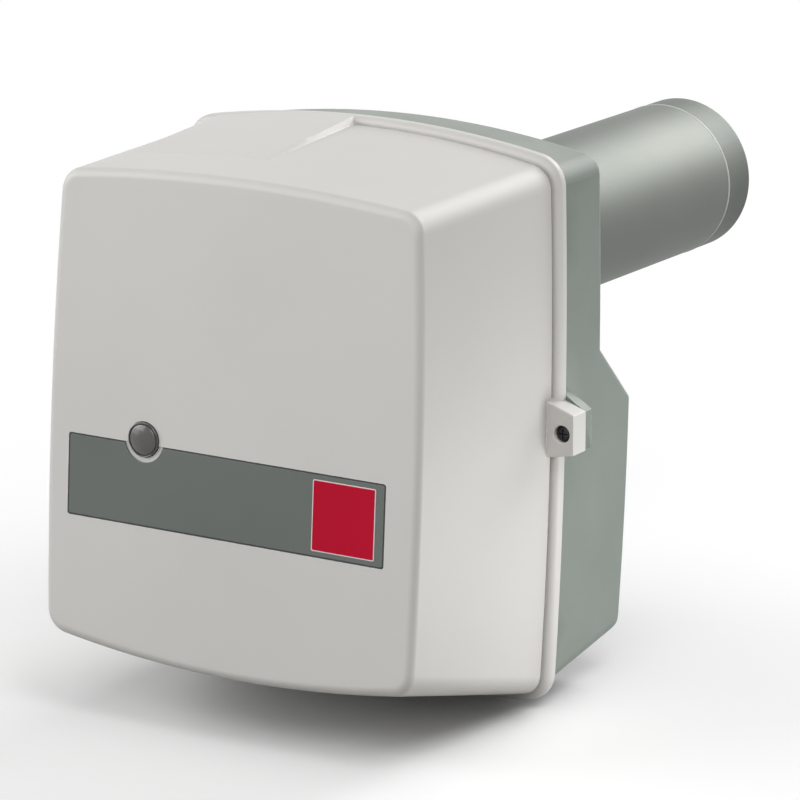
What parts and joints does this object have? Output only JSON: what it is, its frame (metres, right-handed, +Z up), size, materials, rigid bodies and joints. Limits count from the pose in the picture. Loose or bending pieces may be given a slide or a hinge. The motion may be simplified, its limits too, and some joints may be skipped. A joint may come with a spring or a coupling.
{
  "type": "diesel burner",
  "caption": "Small light-oil burner: moulded hood with reset button and recessed strip, cast casing, steel blast tube with end ring, and the motor, fan, pump and combustion head inside.",
  "frame": {"origin": "on the blast tube's axis, in the plane of the casing's upper rear face, where the tube leaves it", "axes": "+Y along the blast tube from the casing into the boiler, +X to the right seen from the hood's front, +Z up"},
  "size_m": [0.2634, 0.4915, 0.3145],
  "materials": {
    "hood_plastic": "satin",
    "casing_paint": "satin",
    "tube_steel": "satin",
    "ring_steel": "speckled",
    "strip_plastic": "matte",
    "badge_red": "gloss",
    "button_smoke": "gloss",
    "lockout_red": "gloss",
    "black_plastic": "matte",
    "spring_steel": "polished",
    "screw_steel": "satin",
    "zinc_plate": "zinc plated",
    "cast_aluminium": "as cast",
    "motor_paint": "satin",
    "lamination_steel": "matte",
    "bearing_steel": "polished",
    "fan_steel": "galvanised",
    "scroll_steel": "satin",
    "coupling_plastic": "satin",
    "pump_iron": "as cast",
    "coil_black": "matte",
    "control_plastic": "satin",
    "trafo_body": "satin",
    "lead_rubber": "matte",
    "grommet_rubber": "matte",
    "brass_part": "satin",
    "copper_pipe": "satin",
    "head_steel": "heat tinted",
    "electrode_ceramic": "glazed",
    "damper_zinc": "satin",
    "gland_plastic": "matte"
  },
  "bodies": {
    "casing": {"blast_tube": "tube_steel", "cable_gland": "gland_plastic", "cap_screws": "screw_steel", "capacitor": "gland_plastic", "capacitor_clip": "zinc_plate", "casing": "casing_paint", "control_base": "black_plastic", "control_box": "control_plastic", "control_bracket": "zinc_plate", "damper_scale": "zinc_plate", "front_plate": "zinc_plate", "gland_angle": "zinc_plate", "ignition_leads": "lead_rubber", "ignition_transformer": "trafo_body", "inlet_plate": "fan_steel", "lead_grommets": "grommet_rubber", "line_bush": "cast_aluminium", "motor_back_shield": "cast_aluminium", "motor_bearings": "bearing_steel", "motor_can": "motor_paint", "motor_front_shield": "cast_aluminium", "motor_stator": "lamination_steel", "oil_pipe": "copper_pipe", "photocell": "black_plastic", "photocell_lead": "grommet_rubber", "pump_body": "pump_iron", "pump_bracket": "cast_aluminium", "pump_cover": "pump_iron", "scroll": "scroll_steel", "small_screws": "screw_steel", "tube_clamp_halves": "cast_aluminium", "tube_end_ring": "ring_steel", "valve_coil": "coil_black"},
    "hood": {"hood": "hood_plastic", "front_strip": "strip_plastic", "badge_tile": "badge_red", "button_retainer": "black_plastic", "hood_screws": "screw_steel", "button_spring": "spring_steel"},
    "button": {"reset_button": "button_smoke"},
    "lockout": {"lockout_button": "lockout_red"},
    "rotor": {"fan_wheel": "fan_steel", "rotor_shaft": "bearing_steel", "rotor_core": "lamination_steel", "shaft_coupling": "coupling_plastic"},
    "damper": {"damper_shaft": "bearing_steel", "damper_flap": "damper_zinc", "damper_lever": "zinc_plate"},
    "head": {"nozzle_line": "head_steel", "union_nut": "brass_part", "nozzle_holder": "brass_part", "oil_nozzle": "head_steel", "electrode_clamp": "cast_aluminium", "electrodes": "electrode_ceramic", "turbulator_disc": "head_steel", "disc_carrier": "head_steel", "head_spider": "head_steel", "line_yoke": "zinc_plate"},
    "head_screw": {"head_screw": "brass_part"}
  },
  "joints": [
    {"name": "hood_off", "type": "slide", "parent": "casing", "child": "hood", "axis": [0, -1, 0], "range_m": [0, 0.2]},
    {"name": "reset_press", "type": "slide", "parent": "hood", "child": "button", "axis": [0, 1, 0], "range_m": [0, 0.003], "stiffness_N_per_m": 300, "springref_m": -0.001, "deforming": ["button_spring"]},
    {"name": "lockout_press", "type": "slide", "parent": "casing", "child": "lockout", "axis": [0, 1, 0], "range_m": [0, 0.003], "stiffness_N_per_m": 200, "springref_m": -0.001},
    {"name": "rotor_spin", "type": "hinge", "parent": "casing", "child": "rotor", "pos_m": [0, 0, -0.112], "axis": [0, 1, 0], "continuous": true},
    {"name": "damper_turn", "type": "hinge", "parent": "casing", "child": "damper", "pos_m": [0, -0.033, -0.186], "axis": [1, 0, 0], "range_deg": [-80, 0]},
    {"name": "head_feed", "type": "slide", "parent": "casing", "child": "head", "axis": [0, 1, 0], "range_m": [0, 0.01], "deforming": ["oil_pipe", "ignition_leads"]},
    {"name": "head_screw_turn", "type": "hinge", "parent": "casing", "child": "head_screw", "pos_m": [0, -0.048, -0.022], "axis": [0, 1, 0], "range_deg": [-5, 3605]}
  ],
  "couplings": [
    {"joint": "lockout_press", "follows": "reset_press", "ratio": 1},
    {"joint": "head_screw_turn", "follows": "head_feed", "rad_per_m": 6283.2}
  ]
}
